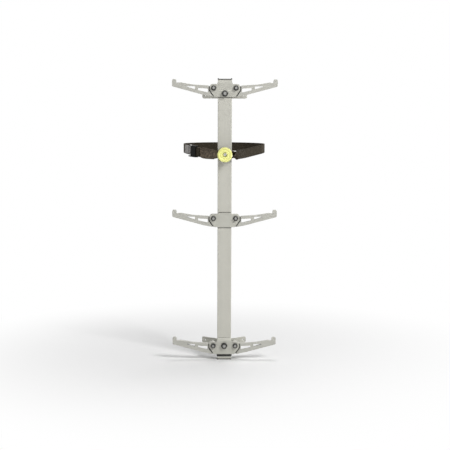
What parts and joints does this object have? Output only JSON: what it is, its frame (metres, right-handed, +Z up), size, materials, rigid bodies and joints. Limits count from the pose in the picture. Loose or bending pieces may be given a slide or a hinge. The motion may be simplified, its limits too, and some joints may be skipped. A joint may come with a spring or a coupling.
{
  "type": "climbing stick",
  "caption": "Slim aluminium climbing stick with folding hooked steps on a flat post, V standoffs, and a webbing strap with a cam buckle that loops over a front button.",
  "frame": {"origin": "midway between the bearing tips of the lower standoff, level with the lower step pivots", "axes": "+Z up the post, +Y from the post towards the tree, +X to the right as seen from the front"},
  "size_m": [0.302, 0.3281, 0.8176],
  "materials": {
    "coated_aluminium": "fine satin coating, light warm grey",
    "step_aluminium": "fine satin coating over a cast skin, light warm grey",
    "black_plastic": "moulded, matt black",
    "black_rubber": "matt black rubber",
    "nylon": "natural nylon",
    "yellow_plastic": "moulded, light yellow",
    "webbing": "woven webbing, charcoal",
    "black_steel": "black coated steel",
    "zinc_steel": "bright zinc plated steel"
  },
  "bodies": {
    "stick": {"bottom_end_cap": "black_plastic", "buckle_frame": "black_steel", "button_cap": "yellow_plastic", "button_hub": "yellow_plastic", "button_nut": "zinc_steel", "button_screw": "zinc_steel", "cam_pin": "zinc_steel", "cam_spring": "zinc_steel", "long_strap": "webbing", "lower_back_plate": "coated_aluminium", "lower_centre_bolt": "zinc_steel", "lower_centre_nut": "black_steel", "lower_front_plate": "coated_aluminium", "lower_left_pivot_bolt": "zinc_steel", "lower_left_pivot_bushing": "nylon", "lower_left_pivot_nut": "black_steel", "lower_right_pivot_bolt": "zinc_steel", "lower_right_pivot_bushing": "nylon", "lower_right_pivot_nut": "black_steel", "lower_standoff": "coated_aluminium", "middle_back_plate": "coated_aluminium", "middle_front_plate": "coated_aluminium", "middle_left_pivot_bolt": "zinc_steel", "middle_left_pivot_bushing": "nylon", "middle_left_pivot_nut": "black_steel", "middle_right_pivot_bolt": "zinc_steel", "middle_right_pivot_bushing": "nylon", "middle_right_pivot_nut": "black_steel", "post": "coated_aluminium", "post_band": "black_rubber", "short_strap": "webbing", "top_end_cap": "black_plastic", "upper_back_plate": "coated_aluminium", "upper_centre_bolt": "zinc_steel", "upper_centre_nut": "black_steel", "upper_front_plate": "coated_aluminium", "upper_left_pivot_bolt": "zinc_steel", "upper_left_pivot_bushing": "nylon", "upper_left_pivot_nut": "black_steel", "upper_right_pivot_bolt": "zinc_steel", "upper_right_pivot_bushing": "nylon", "upper_right_pivot_nut": "black_steel", "upper_standoff": "coated_aluminium"},
    "lower_left_step": {"lower_left_step": "step_aluminium"},
    "lower_right_step": {"lower_right_step": "step_aluminium"},
    "middle_left_step": {"middle_left_step": "step_aluminium"},
    "middle_right_step": {"middle_right_step": "step_aluminium"},
    "upper_left_step": {"upper_left_step": "step_aluminium"},
    "upper_right_step": {"upper_right_step": "step_aluminium"},
    "cam_lever": {"cam_lever": "zinc_steel"}
  },
  "joints": [
    {"name": "lower_left_step_fold", "type": "hinge", "parent": "stick", "child": "lower_left_step", "pos_m": [-0.032, -0.0531, 0], "axis": [0, 1, 0], "range_deg": [0, 80]},
    {"name": "lower_right_step_fold", "type": "hinge", "parent": "stick", "child": "lower_right_step", "pos_m": [0.032, -0.0531, 0], "axis": [0, -1, 0], "range_deg": [0, 80]},
    {"name": "middle_left_step_fold", "type": "hinge", "parent": "stick", "child": "middle_left_step", "pos_m": [-0.032, -0.0531, 0.374], "axis": [0, 1, 0], "range_deg": [0, 80]},
    {"name": "middle_right_step_fold", "type": "hinge", "parent": "stick", "child": "middle_right_step", "pos_m": [0.032, -0.0531, 0.374], "axis": [0, -1, 0], "range_deg": [0, 80]},
    {"name": "upper_left_step_fold", "type": "hinge", "parent": "stick", "child": "upper_left_step", "pos_m": [-0.032, -0.0531, 0.748], "axis": [0, 1, 0], "range_deg": [0, 80]},
    {"name": "upper_right_step_fold", "type": "hinge", "parent": "stick", "child": "upper_right_step", "pos_m": [0.032, -0.0531, 0.748], "axis": [0, -1, 0], "range_deg": [0, 80]},
    {"name": "cam_release", "type": "hinge", "parent": "stick", "child": "cam_lever", "pos_m": [-0.09946, 0.02136, 0.56554], "axis": [0.0497, -0.0742, 0.996], "range_deg": [0, 70], "stiffness_Nm_per_rad": 0.03, "springref_deg": -20.05}
  ]
}
